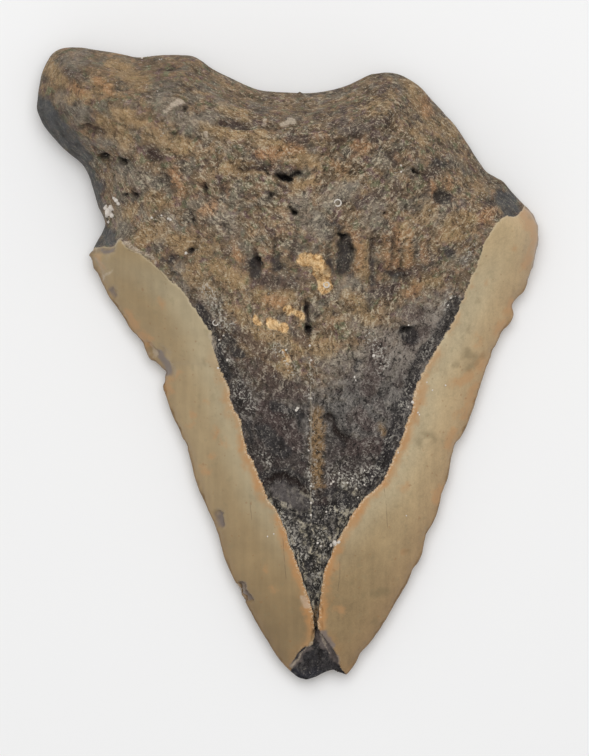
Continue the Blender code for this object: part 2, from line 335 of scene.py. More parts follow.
DISHES = [
    (2.1, 1.5, [(29.3, 31.7)]), (1.6, 0.5, [(29.1, 37.3)]), (2.2, 0.6, [(-0.4, 35.3), (0.8, 35.1)]),
    (1.9, 1.8, [(11.2, 22.8), (11.1, 20.4), (10.7, 17.4)]), (1.6, 0.9, [(-6, 18.5), (-6.4, 16.6)]),
    (1.4, 0.8, [(-1.7, 19.2), (-1.7, 17.3)]), (1.1, 0.9, [(-18.6, 21.3)]), (0.87, 0.5, [(-30.4, 22.8)]),
    (1, 0.5, [(-22.2, 19.2)]), (1.5, 0.6, [(2.7, 10.5), (3.7, 5.5)]),
    (2.1, 0.9, [(22.7, 5.7), (23.8, 4.8)]), (2.1, 0.4, [(21.3, -1.7), (23.6, -4)]),
    (1.1, 0.5, [(13.3, -0.9), (15.1, 0.2)]), (1.1, 0.8, [(8.2, -9.9), (9.9, -12.7), (11.8, -15.9)]),
    (1.7, 0.5, [(-3.4, -21.8), (2.3, -23)]),
    (1.7, 0.5, [(-7.9, 36.7), (-2.4, 36.3), (4.2, 36.3), (8, 37.5)]),
    (1.1, 0.4, [(-38.5, 44.3), (-30, 41.8), (-24.3, 39)]), (1.1, 0.4, [(-11.9, 45.6), (-1.5, 44.9)]),
    (1.1, 0.5, [(16, 22.3), (15.6, 15)]), (0.76, 0.4, [(20.4, 24.3), (20.8, 19.2)]),
    (0.85, 0.4, [(-31.9, 37.8), (-35.7, 38.6)]), (1, 0.5, [(17.5, 28.3), (19, 27.2)]),
    (1, 0.6, [(6.5, -26.4), (7.1, -32.7), (5.7, -37.4), (5.6, -45), (5.4, -52.6)]),
]
SWELLINGS = [
    (2.5, 0.9, [(-1.9, -25.6), (1.6, -26.8)]), (1.7, 0.5, [(9, -13.1), (10.1, -17.5)]),
    (0.57, 0.5, [(12.4, 23.8), (13, 21.9), (12.6, 19.2)]), (2.5, 0.6, [(4.6, 19.2), (6.5, 17.3)]),
    (1.3, 0.4, [(-2.2, 7.8), (-0.7, 7.1)]), (1.1, 0.35, [(1.4, 10.7), (2.7, 9.9)]),
    (1.1, 0.5, [(-34.2, 28.7)]), (0.57, 0.4, [(-32.6, 31), (-31.5, 30)]),
    (2.3, 0.4, [(4.2, -7), (4.6, -20.3)]),
]
CHIPS = [
    (1.2, 0.7, [(-26.4, 3.1), (-25, 1.7)]), (1.4, 0.5, [(-23.9, 2.1), (-22.6, -1.7)]),
    (0.85, 0.8, [(-13.3, -28.7), (-12.9, -30.9)]), (1, 0.9, [(-8.9, -42.3), (-7.6, -45)]),
    (1.3, 0.6, [(-36.6, 20.7), (-34.9, 20.7), (-33.8, 21.1)]), (1.3, 0.4, [(-37.2, 19.6), (-35.9, 17.5)]),
    (0.68, 0.5, [(-33.4, 14.1), (-33, 12.6)]), (1.3, 0.25, [(6.2, -52.1), (7.2, -53.6)]),
    (1.8, 0.5, [(2.8, -57), (4.6, -56), (7.1, -56.2), (8.4, -56.8)]),
]

# What only colours, by radius and path: stains, and in BLACK also painted shade in pits, craters and
# creases.
OCHRE = [
    (1.25, [(3, 18.9), (4.2, 19.3), (5.4, 19)]), (1.6, [(5.8, 18.2), (6.5, 16.9)]),
    (1.45, [(6.7, 16), (7, 14.2)]), (0.75, [(0, 9.9), (1.2, 9.4), (2.4, 8.9)]),
    (1, [(-3.1, 7.4), (-1.9, 6.6), (-0.9, 6.2)]), (0.55, [(-6.3, 8.2), (-5.5, 7.3)]),
    (0.45, [(-1.1, 2), (0.2, 0.2)]),
]
RUST = [
    (0.95, [(12.8, 41.1), (14.7, 40.7)]), (1.1, [(38.8, 28.7), (37.3, 27)]),
    (0.6, [(20.6, 24.8), (20.7, 17.6)]), (0.55, [(23, 24.2), (23, 17.8)]),
    (0.5, [(25.9, 22.3), (25.9, 19.2)]), (0.45, [(18.6, 23.4), (18.8, 17.4)]),
    (0.9, [(-3.8, 11.6), (-1, 11)]), (0.7, [(12.6, 24.2), (13.6, 21.9), (13.4, 17.5)]),
    (1.3, [(5.6, -9.5), (5.7, -16.9)]), (0.9, [(5.7, -18), (6, -25)]), (0.57, [(8, 37.6), (10.9, 36.3)]),
    (0.5, [(5.2, -47), (5.3, -50)]), (1.1, [(1.9, 40.1), (-4.9, 39.4)]),
    (0.95, [(-21.6, 35.6), (-20.1, 31.8)]), (0.76, [(-15.9, 28.3), (-14, 29.1)]),
    (0.95, [(-35.7, 53.8), (-33.4, 51.9)]), (0.95, [(-41, 52.3), (-38.7, 51.5)]),
    (0.76, [(30.8, 34.8), (31.2, 33.7)]), (0.57, [(27.4, 34), (28.2, 30)]),
    (0.95, [(26.1, 50), (27, 47.7)]), (0.57, [(18.1, -12.3), (19, -13.8)]),
    (0.76, [(-9.1, 19.2), (-9.8, 20.4)]), (0.76, [(25.1, 13.9), (23.2, 12.8)]),
]
EDGE_RUST = [
    (0.49, [(-10.4, -7.6), (-9.6, -10.2), (-8.9, -13.1), (-8.3, -15.7), (-7.6, -18.2)]),
    (0.61, [(-7.2, -18.8), (-6, -21.3), (-4.7, -23.9), (-3.2, -26.2)]),
    (0.87, [(-2.4, -27.3), (-1.1, -29.8)]),
    (0.57, [(-0.5, -31.7), (0.4, -34.6), (1.4, -37.8), (2.3, -40.3), (3.5, -43.5), (4, -46.1)]),
    (0.38, [(4.6, -49.2), (4.2, -52.6), (2.7, -54.1)]), (0.3, [(35.4, 18.1), (34.6, 14.8), (33.1, 12)]),
    (0.46, [(32.2, 9.3), (30.6, 5.7)]), (0.53, [(28.5, 2.1), (27, -0.2), (26.1, -2.3)]),
    (0.65, [(25.9, -4.2), (25.3, -7.4)]), (0.65, [(23.8, -8.9), (22.8, -12.7), (21.7, -15.7)]),
    (0.65, [(20.4, -18.2), (19, -20.9), (16.6, -23.9)]),
    (0.91, [(14.1, -25.8), (13.3, -28.3), (12, -30.4), (10.7, -32.5)]),
    (0.61, [(9.5, -34.6), (8, -37.4), (7.3, -40.1)]), (0.46, [(6.7, -43.1), (6.3, -47.3), (6.3, -50.3)]),
    (0.9, [(-30.2, 9), (-29, 7)]), (1, [(-27.7, 5.5), (-26.7, 3.6)]), (1.2, [(44.6, 28.4), (46.6, 26)]),
    (0.6, [(46.6, 26.4), (47, 21.5)]), (0.87, [(45.8, 20.5), (45.1, 18.1)]),
    (0.68, [(42.8, 11.6), (41.8, 9.7)]), (0.76, [(41.3, 7.8), (39.9, 6.3)]),
    (0.87, [(37.5, 1), (36.5, -0.5)]), (0.61, [(35.6, -4.3), (35, -7), (33.9, -10.4)]),
    (0.8, [(31.4, -13.5), (30.6, -15.7)]), (0.61, [(29.1, -23.7), (28.2, -26)]),
    (0.42, [(-24.3, 11.8), (-23.9, 11)]), (0.46, [(-18.2, -9.5), (-17.6, -9.9)]), (0.3, [(-18.6, -12.1)]),
    (0.57, [(-14.2, -13.8), (-13.4, -12.9)]), (0.27, [(-13.3, -14.2), (-11.9, -15.7)]),
    (0.29, [(-15.7, -7.4)]), (0.38, [(-14.6, -17.5)]), (0.57, [(-16.3, -20.1), (-15.3, -20.7)]),
    (0.46, [(21.7, -23.7), (22.5, -23.2)]), (0.3, [(22.3, -35.7)]), (0.38, [(-3, -42.9), (-2.4, -43.1)]),
    (0.29, [(-4.1, -39.1)]), (0.38, [(9.7, -46.5), (10.5, -46.9)]), (0.3, [(8, -39.7), (9.5, -38.4)]),
    (0.34, [(36.1, 5.2), (36.3, 3.4)]), (0.29, [(37.5, 15.4)]), (0.38, [(42.8, 21.5)]),
    (0.49, [(31.8, -9.7), (32.9, -9.3)]), (0.38, [(-23.1, -3.4), (-21, -2.3)]),
    (0.95, [(31.8, -3.8), (34.6, -2.4)]), (0.38, [(-36.2, 20.4), (-35.7, 18.1)]),
    (0.57, [(-23.1, -4.3), (-22.4, -5.5)]),
]
SMUDGES = [
    (0.5, [(26.1, -13.1), (27.8, -14.6)]), (0.95, [(34.2, 1.7), (35.8, 0.6)]),
    (0.76, [(35, -0.5), (34.6, -0.9)]), (0.57, [(37.5, 1.4)]), (0.57, [(32.2, -0.4)]),
    (0.38, [(24.7, -14), (24.9, -15.4)]), (0.5, [(16.4, -43.9), (19, -43.5)]), (0.57, [(14.5, -44.4)]),
    (0.68, [(16.8, -49.2)]), (0.38, [(12.2, -41.6)]), (0.23, [(-15.9, 0.4)]), (0.38, [(46, 27.6)]),
    (0.38, [(36, 11.6)]), (0.38, [(22.7, -35.7)]), (0.38, [(34.1, 6.3)]),
    (0.57, [(-17.4, -29.8), (-15.9, -33.6)]), (0.3, [(20.8, -26.8)]),
]
SLATE = [
    (1.9, [(-47.5, 49.2), (-46.3, 47), (-44.4, 44.3)]),
    (1.6, [(-44, 43.9), (-41.4, 41.3), (-39.1, 38.2)]),
    (1.1, [(-38.3, 36.7), (-36.8, 32.9), (-36.1, 29.1)]), (1.3, [(-34.7, 24.9), (-33.8, 23)]),
    (0.95, [(-36.1, 23), (-37.2, 21.5)]), (1.7, [(41.7, 31.4), (42.6, 29.1)]),
    (0.76, [(40.3, 32.9), (41.5, 31.8)]), (1.5, [(-2.2, -24.2), (0, -25), (2.6, -26.6)]),
]
CHIP_GREY = [
    (0.6, [(-24.7, 2.3), (-23.7, 0.6), (-22.9, -2)]), (0.61, [(-13.3, -28.9), (-12.9, -30.8)]),
    (0.8, [(-8.9, -42.3), (-7.7, -44.6)]), (0.5, [(-35.7, 21.5), (-34, 21.1)]),
    (0.35, [(-33.7, 14), (-33.2, 12.7)]), (1.2, [(6.3, -52), (7.5, -54)]),
    (0.6, [(8.3, -54.8), (9.5, -56.8)]), (0.5, [(1.1, -57.6), (2.1, -55.7), (4.1, -54.3)]),
]
PLUM = [
    (0.67, [(-12.1, 45.6), (-7.9, 45.6)]), (0.95, [(-22.2, 19.2)]), (1.1, [(12.2, 43.9), (18.3, 45.8)]),
    (0.95, [(13.7, 29.9), (17.1, 31.8)]), (0.95, [(-29.2, 31.4)]), (2.3, [(-4.3, -8.9), (0.4, -14.6)]),
    (1.7, [(-3.4, -4.2), (2.3, -6.1)]), (1.5, [(11.8, -16.1), (17.1, -15.7)]),
    (1.4, [(-6, 15.4), (0.5, 14.6)]), (1.3, [(-9.5, 5.5), (-3, 0.8)]), (1, [(1.6, 5.4), (3.2, 3.6)]),
    (1.3, [(13.5, -9.5), (15.5, -12)]), (0.8, [(23.5, 16.5), (27, 18.5)]),
    (1.2, [(23, 9.7), (25.5, 8.6)]), (1.9, [(-6.2, -0.4), (-2.4, -4.2)]), (1.5, [(8, -23.2), (6.1, -26)]),
    (1.1, [(28.9, 37.1), (26.6, 35.2)]), (1.1, [(23.2, 3.4), (27, 6.3)]),
    (1.1, [(-42.1, 55.3), (-39.5, 54.6)]), (0.95, [(-5.7, 38.6), (-4.9, 37.1)]),
    (0.9, [(10.4, 48.3), (10.2, 45.4)]), (1.3, [(0.6, 42.2), (3, 42)]), (0.9, [(16.8, 43.3), (16, 42)]),
    (0.7, [(18.3, 53), (17.1, 51.5)]), (0.95, [(38, 30), (39.2, 31)]),
    (1.3, [(16.6, 13.9), (19.4, 13.5)]), (0.95, [(-24.3, 38.6), (-26.2, 40.5)]),
    (1.9, [(17.5, 2.5), (15.6, -5.1)]),
]
GOLD = [
    (1.7, [(-32.3, 56.8), (-27.7, 53.8)]), (1.5, [(-35.7, 53), (-33.4, 51.5)]),
    (1.7, [(-26.2, 42.4), (-19.5, 40.5)]), (1.3, [(-15.7, 43.9), (-8.1, 42.8)]),
    (1.7, [(-4.9, 42.8), (2.3, 38.6)]), (1.1, [(-11.9, 48.5), (-8.1, 47)]),
    (1.3, [(-31.9, 46.6), (-28.1, 45.1)]), (1.3, [(2, 39.2), (4.5, 37.6)]),
    (1.5, [(-22, 22.5), (-15, 21.5)]), (1.1, [(14.9, 48.5), (17.1, 50)]),
    (1.5, [(23.6, 53), (25.9, 48.5)]), (1.3, [(27.4, 45.8), (31.2, 44.3)]), (1, [(1.6, 33.3), (4.6, 34)]),
    (1.3, [(-11.4, 36.3), (-8.3, 36.3)]), (1.1, [(9.9, 36.3), (12.2, 35.2)]),
    (1.9, [(31.2, 25.7), (34.6, 26.8)]), (1.2, [(22.1, 25.3), (22.8, 19.2)]),
    (1.1, [(25.1, 14.7), (28.9, 14.7)]), (1.5, [(-24.3, 24.9), (-28.1, 23.4)]),
    (1.7, [(-13.8, 17.7), (-10, 14.8)]), (1.5, [(-18.5, 16.6), (-15.5, 13.5)]),
    (1.8, [(-34.5, 44.5), (-31, 41.8)]), (1.5, [(-5.6, 5.4), (-1, 4.6)]),
    (1.3, [(-11, 10.2), (-8.6, 8.2)]), (1.3, [(-45.3, 56), (-43.6, 53.6)]),
    (1.7, [(-5.3, 12), (0.4, 12)]), (1.7, [(8, 2.5), (2.3, 3.4)]), (1.5, [(11.8, 12), (16, 7.8)]),
    (1.3, [(27, 29.1), (26.3, 28.3)]), (1.1, [(24.4, 44.3), (25.9, 42.4)]),
    (1.5, [(13.7, 21.5), (14.5, 16.7)]), (1.7, [(-8.1, 4.4), (-0.5, -1.7)]),
    (1.1, [(-26.2, 31), (-23.1, 29.9)]), (1.1, [(-30, 28.7), (-31.1, 28)]),
    (1, [(36.5, 32.9), (34.6, 34.8)]), (0.95, [(-41.4, 50), (-37.6, 50.4)]),
    (0.95, [(18.3, 47.7), (19.8, 51.5)]), (1.1, [(32.7, 23.4), (29.7, 23.4)]),
]
ASH = [
    (2.3, [(-24.3, 50), (-18.6, 45.2)]), (1.7, [(13, 7.4), (18, 4)]), (1.7, [(-43.3, 50), (-39.9, 47.7)]),
    (1.5, [(-34.9, 42), (-30.7, 40.9)]), (1.9, [(-31.9, 35.7), (-26.2, 33.8)]),
    (1.9, [(-13.8, 28.1), (-10.6, 24.9)]), (2.3, [(2.3, 29.1), (6.1, 25.3)]),
    (1.9, [(15.6, 26.2), (16.8, 30)]), (1.5, [(-11.4, 48.9), (-16.7, 44.7)]),
    (1.3, [(-33, 28.5), (-31, 25)]), (1.5, [(-15.7, 12.9), (-13.8, 8.2)]), (1.7, [(8, 31), (11.8, 32.9)]),
    (1.3, [(34.6, 19.2), (31.8, 19.2)]), (1.7, [(27.4, 29.5), (29.3, 26.8)]),
    (1.5, [(9.9, 13.9), (13, 15)]), (1.9, [(9.9, -0.5), (14.9, 1.4)]),
    (1.5, [(-18.6, 14.8), (-20.5, 17.3)]), (1.5, [(-24.3, 24.9), (-22.8, 26.8)]),
    (1.5, [(-41.4, 57.6), (-39.5, 58.4)]),
]
# Dark patches of the root and dentine, and painted shade in pits, craters and creases.
BLACK = [
    (1.1, [(-6.2, 18.6), (-6.4, 16.6)]), (0.9, [(-2, 19.4), (-2.2, 17.2)]),
    (1.5, [(11, 22.6), (11, 20), (10.6, 17.6)]), (0.6, [(16.1, 18.9), (16, 14.6)]),
    (0.5, [(7.9, 18.9), (8.2, 17.2)]), (2, [(29.6, 31.4)]), (0.55, [(18.8, 16.7), (22.5, 15.9)]),
    (0.5, [(8.8, -10.6), (9.7, -13.4), (11.1, -15.8)]), (0.4, [(3.3, 10.4), (3.9, 8.6), (4, 4.8)]),
    (0.75, [(-18.6, 21)]), (0.5, [(-22.3, 19.3)]), (0.7, [(13.9, -0.5), (13.3, -1.3)]),
    (0.3, [(-1.9, 35.9), (2.3, 35.9)]), (0.57, [(8, 26.1), (9.9, 25.3)]),
    (1.4, [(22.9, 5.6), (24.1, 4.6)]), (0.9, [(-16.7, 9.7), (-15.2, 6.3), (-13.6, 2.1), (-11.7, -2.8)]),
    (1.1, [(-12.3, 4.4), (-9.6, 1.6)]), (0.6, [(-8.1, -11.3), (-7.2, -15)]),
    (1.2, [(5.5, -25.2), (8.6, -24.6)]), (1.2, [(32.3, 11.6), (30.3, 7.1), (28.4, 4)]),
    (1.2, [(27, 2.9), (25.1, -0.5), (23.6, -4.6)]),
    (1.2, [(21.9, -7.4), (21, -12.3), (19.6, -16.4), (17.6, -20.6), (15.2, -23.4)]),
    (1.5, [(-4.2, -21.9), (-1.5, -21.3), (2.3, -22.8)]), (0.9, [(-3, -8.2), (2.3, -10)]),
    (1.5, [(-4.9, -13.1), (-1.1, -16.9)]), (1.6, [(5.6, -28.2), (8.6, -30.4)]),
    (1.2, [(10.2, -25.6), (13, -26.6)]), (0.8, [(-0.6, -27.6), (1.2, -32.2), (2.7, -36)]),
    (0.8, [(4.2, -38), (4.6, -43.5)]), (0.95, [(2.5, -28.5), (5, -30.2)]),
    (1.7, [(2.7, -57.2), (5, -56.4), (7.3, -57.2), (10.5, -59.1)]), (1, [(5.1, -54.6), (6.6, -55.6)]),
    (0.2, [(-20.5, 16.2), (-22, 17.7), (-23.7, 19.2)]), (0.57, [(30.3, 21.1), (31.2, 20)]),
    (0.49, [(27.4, 37.5), (28.9, 38.4), (30.8, 37.5)]),
]
# Where white threads and grains lie thick on the bare dentine and root.
FROST = [
    (1.5, [(8.9, -21.8), (12.6, -22.4), (17, -20.6)]), (0.7, [(8.2, -28.2), (10.4, -27.8)]),
    (0.5, [(18.4, -17.8), (20.4, -13.4)]), (0.4, [(22.3, -8.7), (24.2, -3.6)]),
    (0.4, [(26, 0.6), (27.7, 4.6)]), (0.6, [(30, 10.4), (32, 13.6)]), (0.6, [(33.8, 18.6), (35.6, 21.8)]),
    (1, [(-15.8, 13.8), (-13.4, 9.4), (-11.6, 5.6)]), (0.4, [(-13, 3.4), (-11.4, -0.4)]),
    (1.1, [(15.4, 5), (17.8, 3), (18.4, -1.6)]), (1.2, [(-9.8, -4.6), (-7.9, -9)]),
    (0.7, [(-5.6, -17), (-4, -19.4)]), (0.5, [(4.4, 0.6), (4.4, -6.6)]), (0.45, [(4.2, -10), (4.3, -16)]),
    (0.6, [(4.4, -19), (4.4, -29.5)]), (1, [(-1.2, -28.2), (0.9, -33.4), (2.4, -37.4)]),
    (1.1, [(6.2, -32.2), (7.2, -36)]), (0.7, [(5.4, -38), (5.5, -43)]),
    (0.8, [(-2.8, 2.8), (-0.6, 0.4), (0.8, -1.8)]),
]
PALE = [
    (0.45, [(-22.9, 47.2), (-21.9, 48.6)]), (0.65, [(-21.5, 49), (-19.9, 49.5)]),
    (0.55, [(-0.7, 45.9), (1.1, 46.5)]), (0.25, [(-4.6, 45.8), (-4.1, 46)]), (0.55, [(-15.5, 43)]),
    (0.3, [(-31, 22.7), (-30, 22), (-27.5, 20.8)]), (0.24, [(-26.9, 20.4), (-25.2, 19.2)]),
    (0.2, [(-35.3, 16), (-34.2, 17.1), (-33, 18.1)]), (0.22, [(-33.4, 22.3), (-32.4, 23), (-31.9, 23.4)]),
    (0.16, [(-14.8, 5.9), (-14, 2.5)]), (0.5, [(-9.8, -42.3), (-9.1, -42.7)]),
    (0.45, [(2.8, -44.6), (3.6, -46.2)]), (0.18, [(0.9, -58), (1.6, -56.1), (3.2, -54.3), (4.8, -53.3)]),
    (0.4, [(-26.4, 3.3), (-25.6, 2.6), (-25.2, 1.3)]), (0.16, [(6.2, -51.4), (7, -53.4), (8.2, -55.4)]),
]

# Hairline cracks in the enamel and the dentine.
CRACKS = [
    [(18.3, -23.7), (18.7, -27), (18.9, -30.9)], [(-0.9, -33.2), (-0.7, -36.6), (-0.3, -40.8)],
    [(9.9, -37.4), (9.9, -40.3), (9.5, -43.1)], [(-7.2, -26), (-6.8, -29.8)],
    [(8.4, -33.2), (8.2, -36.6)], [(-30.4, 21.5), (-26.9, 20), (-24.7, 18.1), (-23.1, 16)],
    [(4.4, 3.4), (4.6, -3.2), (4.2, -10.8), (4, -16.5), (4.4, -23.3), (4.4, -29.8)],
]
# White crystals, each x, y and radius, and worm tubes, each x, y, ring radius and tube radius.
CRYSTALS = [
    (-33.9, 28.8, 0.8), (-33.4, 29.4, 0.6), (-34.4, 29.5, 0.55), (-33.3, 28.1, 0.5), (-34.3, 28, 0.4),
    (-32.3, 30.8, 0.55), (-31.9, 30.3, 0.5), (-32.8, 31.2, 0.35), (-34, 26.8, 0.3), (-25.6, 27.4, 0.23),
    (-23.7, 27.8, 0.21), (-22.4, 27.2, 0.25), (-22, 27, 0.25), (-27.7, 58, 0.23), (-26.6, 58.2, 0.23),
    (-24.3, 57.6, 0.19), (-23.9, 57.6, 0.19), (-24.5, 51.1, 0.17), (21.3, 37.1, 0.19), (21.3, 35.9, 0.19),
    (16.2, 1.4, 0.3), (12.6, -2.6, 0.23), (12.8, -3.2, 0.23), (-19.1, 20.7, 0.29), (1.6, -8.9, 0.3),
    (1.9, -8.5, 0.3), (30.8, 12.4, 0.23), (30.3, 11, 0.21), (23.6, -7.4, 0.3), (23, -8.3, 0.3),
    (24.6, -9.3, 0.21), (24.9, -9.7, 0.21), (8.3, -34.5, 0.4), (9, -34, 0.5), (9.7, -33.8, 0.36),
    (8.2, -22.8, 0.25), (8.6, -22.4, 0.25), (29.9, -4.2, 0.19), (-3.8, -32.8, 0.16), (-2.6, -32.3, 0.16),
    (22.5, -28.9, 0.17), (4.2, 3.3, 0.23), (4.4, 0.6, 0.23), (4.4, -6.6, 0.15), (4.2, -10.8, 0.15),
    (4, -16.5, 0.17), (4.4, -23.2, 0.17), (4.4, -26.4, 0.25), (4.4, -28.7, 0.25), (26.3, -3.6, 0.19),
    (22.8, 7.2, 0.19), (20.8, -14.6, 0.17), (20.9, -16.9, 0.17), (11.3, -22.6, 0.19), (13, -23.7, 0.19),
    (12.2, -21.8, 0.23), (14.5, -23, 0.19), (16, -21.4, 0.19), (9.7, -20.7, 0.19), (14.5, -20.3, 0.17),
    (13.3, -25.4, 0.19), (7.3, -28.1, 0.21), (6.3, -34.6, 0.27), (5.7, -34, 0.27), (27.4, -5.1, 0.19),
    (-0.9, 2.1, 0.19), (-0.3, 2.5, 0.19), (-12.9, 4.4, 0.19), (-12.1, 5.2, 0.19), (-13.1, -0.9, 0.23),
    (-11.4, 0.6, 0.23),
]
WORM_TUBES = [(9.4, 30, 0.62, 0.14), (7.3, 14.7, 0.5, 0.14), (-13.6, 7.6, 0.5, 0.1)]

# Marks stored as fields: stains and other colours, painted shade in the cavities, the creases and part of
# BLACK, and the cracks' reach.
STAINS_AND_SHADES = {
    "ochre": OCHRE,
    "rust": RUST,
    "edge_rust": EDGE_RUST,
    "smudge": SMUDGES,
    "slate": SLATE,
    "chip": CHIP_GREY,
    "plum": PLUM,
    "gold": GOLD,
    "ash": ASH,
    "black": BLACK,
    "frost": FROST,
    "pale": PALE,
    "cavity_shade": [(radius, path) for radius, _, path in CAVITIES],
    "crease_shade": [(radius, path) for radius, _, path in CREASES],
    "crack_reach": [(0.2, path) for path in CRACKS],
}


# ---------------------------------------------------------------- the skin


def sections():
    """The bare form: grids of places, distance to the rim, and which columns are the upper face.

    A section line runs straight from the left rim to the spine and on to the right rim. With u the
    share of the way from rim to spine and d the distance to the rim, the upper face stands at
    rim + rise * (1 - drop * (1 - u)^2) * rounded(d / r, power), and the lower at
    rim * (1 - rounded(d / r)).
    """
    corners, triangles = packed_corners()
    rim = smooth_curve(widest_loop(corners, triangles), closed=True)
    tip = np.argmin(np.linalg.norm(rim - TIP, axis=1))
    left = rim_half(rim[tip::-1], [station[0] for station in STATIONS])
    right = rim_half(np.vstack([rim[tip:], rim[:1]]), [station[1] for station in STATIONS])
    stops = np.cumsum((0, *ROWS))
    knots = np.array([TIP, *(station[2] for station in STATIONS), DIP]).T
    spine = np.column_stack([evened(np.interp(np.arange(stops[-1] + 1), stops, k)) for k in knots])
    widths = [np.linalg.norm(spine - side, axis=1) for side in (left, right)]
    smooth_widths = [evened(width)[1:-1, None] for width in widths]
    widths = [width[1:-1, None] for width in widths]
    rims = [side[1:-1, None, :] for side in (left, right)]
    middle = spine[1:-1, None, :]

    over = [shares(width[:, 0], OVER_HALF, OVER_RIM) for width in widths]
    under = [shares(width[:, 0], UNDER_HALF, UNDER_RIM) for width in widths]
    ring = [(0, over[0]), (1, over[1][:, -2::-1]), (1, under[1][:, 1:]), (0, under[0][:, -2:0:-1])]
    places = np.hstack([rims[k] + share[..., None] * (middle - rims[k]) for k, share in ring])
    u = np.hstack([1 - (1 - share) * widths[k] / smooth_widths[k] for k, share in ring]).clip(0, 1)
    upper = np.arange(places.shape[1]) <= 2 * OVER_HALF

    outline = np.vstack([left, right[-2::-1]])
    d = to_path(outline, places)[0]
    root = eased(*CROWN_TO_ROOT_Y, places[..., 1])
    rim_height, drop, upper_radius, power, lower_radius = (
        a + (b - a) * root
        for a, b in (RIM_HEIGHT, SIDE_DROP, UPPER_RADIUS, UPPER_POWER, LOWER_RADIUS)
    )
    rise = np.interp(spine[1:-1, 1], CREST_Y, crest(corners))[:, None] - rim_height
    top = rim_height + rise * (1 - drop * (1 - u) ** 2) * rounded(d / upper_radius, power)
    bottom = rim_height * (1 - rounded(d / lower_radius))
    places = np.dstack([places, np.where(upper, top, bottom)])
    return places, d, upper


def outward(places):
    """Unit normals of a grid whose rows are closed rings: the ring's direction crossed with the
    rows' direction, each taken between the neighbours on either side."""
    round_ring = np.roll(places, -1, axis=1) - np.roll(places, 1, axis=1)
    normals = np.cross(round_ring, np.gradient(places, axis=0))
    return normals / np.maximum(np.linalg.norm(normals, axis=-1, keepdims=True), 1e-9)


def bowls(marks, places):
    """Depth of the deepest bowl at each place: full at a bowl's path, easing to none at its radius."""
    return np.max(
        [deep * eased(radius, 0.3 * radius, to_path(path, places)[0]) for radius, deep, path in marks],
        axis=0,
    )


def enamel_reach(places, d, upper):
    """Signed distance to the enamel's edge, positive on the enamel, its line frayed by hills. What
    is bare above stays bare a little way round the rim."""
    fray = np.dstack([rough(places, 1.8, 3, seed) for seed in (11, 12)]) * FRAY
    frayed = places[..., :2] + fray
    left, right = smooth_curve(ENAMEL_LEFT), smooth_curve(ENAMEL_RIGHT)
    bare = within(np.vstack([left, BELOW_TIP, right, ROUND_THE_ROOT]), frayed)
    distance = np.minimum(to_path(left, frayed)[0], to_path(right, frayed)[0])
    over = np.where(bare, -distance, distance)
    under = to_path(smooth_curve(ENAMEL_UNDER), frayed)[1]
    return np.where(upper, over, np.minimum(under, over + 3 * d))


def worn_skin():
    """The form with its wear carved in along the normals, and the fields that its finish reads.

    Root and dentine sink by hills upon hills, by pocks and by wrinkles, which lie where one set of
    hills crosses zero. The wrinkles stretch along the root's rim and down the crown, and all of it
    is shallow at the rim itself. The enamel only undulates, and its cutting edge is nibbled."""
    places, d, upper = sections()
    x, y, z = np.moveaxis(places, -1, 0)
    enamel = enamel_reach(places, d, upper)
    bare = eased(0, -0.3, enamel)
    dark = np.where(upper, -to_path(smooth_curve(DARK_FROM), places)[1], NOWHERE)
    crown = eased(14, 4, y)

    down = STEP_AT_TIP + (STEP_AT_SHOULDERS - STEP_AT_TIP) * eased(-6, 20, y)
    step = np.where(upper, down, STEP_UNDER) * (1 - 0.1 * crown)
    along_rim = eased(14, 6, d) * eased(16, 30, y)
    stretched = np.dstack([x * 0.35, y * 0.35, d + 0.4 * z])
    drawn = np.dstack([x, y * 0.3, z * 0.3])
    wrinkle, along, downwards = (
        np.exp(-((hills(at, 2.6, seed) / WRINKLE_FADE) ** 2))
        for at, seed in ((places, 31), (stretched, 32), (drawn, 33))
    )
    wrinkle += (along - wrinkle) * along_rim
    wrinkle += (downwards - wrinkle) * crown * 0.5
    pocks = eased(0.25, 0.6, rough(places, 2.3, 2, 34))
    sunk = WRINKLE_DEPTH * wrinkle - LUMP_HEIGHT * rough(places, 3.4, 3, 22) + POCK_DEPTH * pocks
    bare_relief = BARE_DEPTH + SWELL_HEIGHT * rough(places, 14, 2, 21) + sunk * (1 - 0.25 * crown)
    off_rim = 0.15 + 0.85 * eased(0, 2.5, d)
    enamel_relief = (
        ENAMEL_DEPTH
        + UNDULATION * rough(places, 12, 2, 25)
        + RIPPLE * rough(places, 2.5, 1, 26)
        + BITE_DEPTH * eased(1.3, 0, d) * np.clip(0.3 + rough(places, 1.7, 2, 27), 0, 1)
    )
    carved = bare * (step + bare_relief) * off_rim + (1 - bare) * enamel_relief

    ragged = places + np.dstack([rough(places, 1.9, 3, seed) for seed in (41, 42, 43)]) * RAGGED
    holes = np.maximum(bowls(CAVITIES, ragged), bowls(CREASES, ragged))
    marks = holes + bowls(DISHES, ragged) + bowls(CHIPS, ragged) - bowls(SWELLINGS, ragged)
    carved = np.maximum(carved + np.where(upper, 1, eased(1, 0, d)) * marks, 0)
    skin = places - outward(places) * carved[..., None]

    # How deep the bare surface sinks here, which the finish paints as shade in hollows and holes.
    hollow_shade = bare * (sunk + holes * upper * 0.6)
    fields = {"enamel": enamel, "rim": d, "dark": dark, "hollow_shade": hollow_shade}
    for name, blot_marks in STAINS_AND_SHADES.items():
        fields[name] = np.where(upper, blots(blot_marks, ragged), NOWHERE)
    # The crack's distance keeps its sign, so that it passes through zero between two corners.
    cracks = [to_path(path, places) for path in CRACKS]
    nearest = np.argmin([distance for distance, _ in cracks], axis=0)[None]
    fields["crack"] = np.take_along_axis(np.array([side for _, side in cracks]), nearest, 0)[0]
    return skin, fields, upper


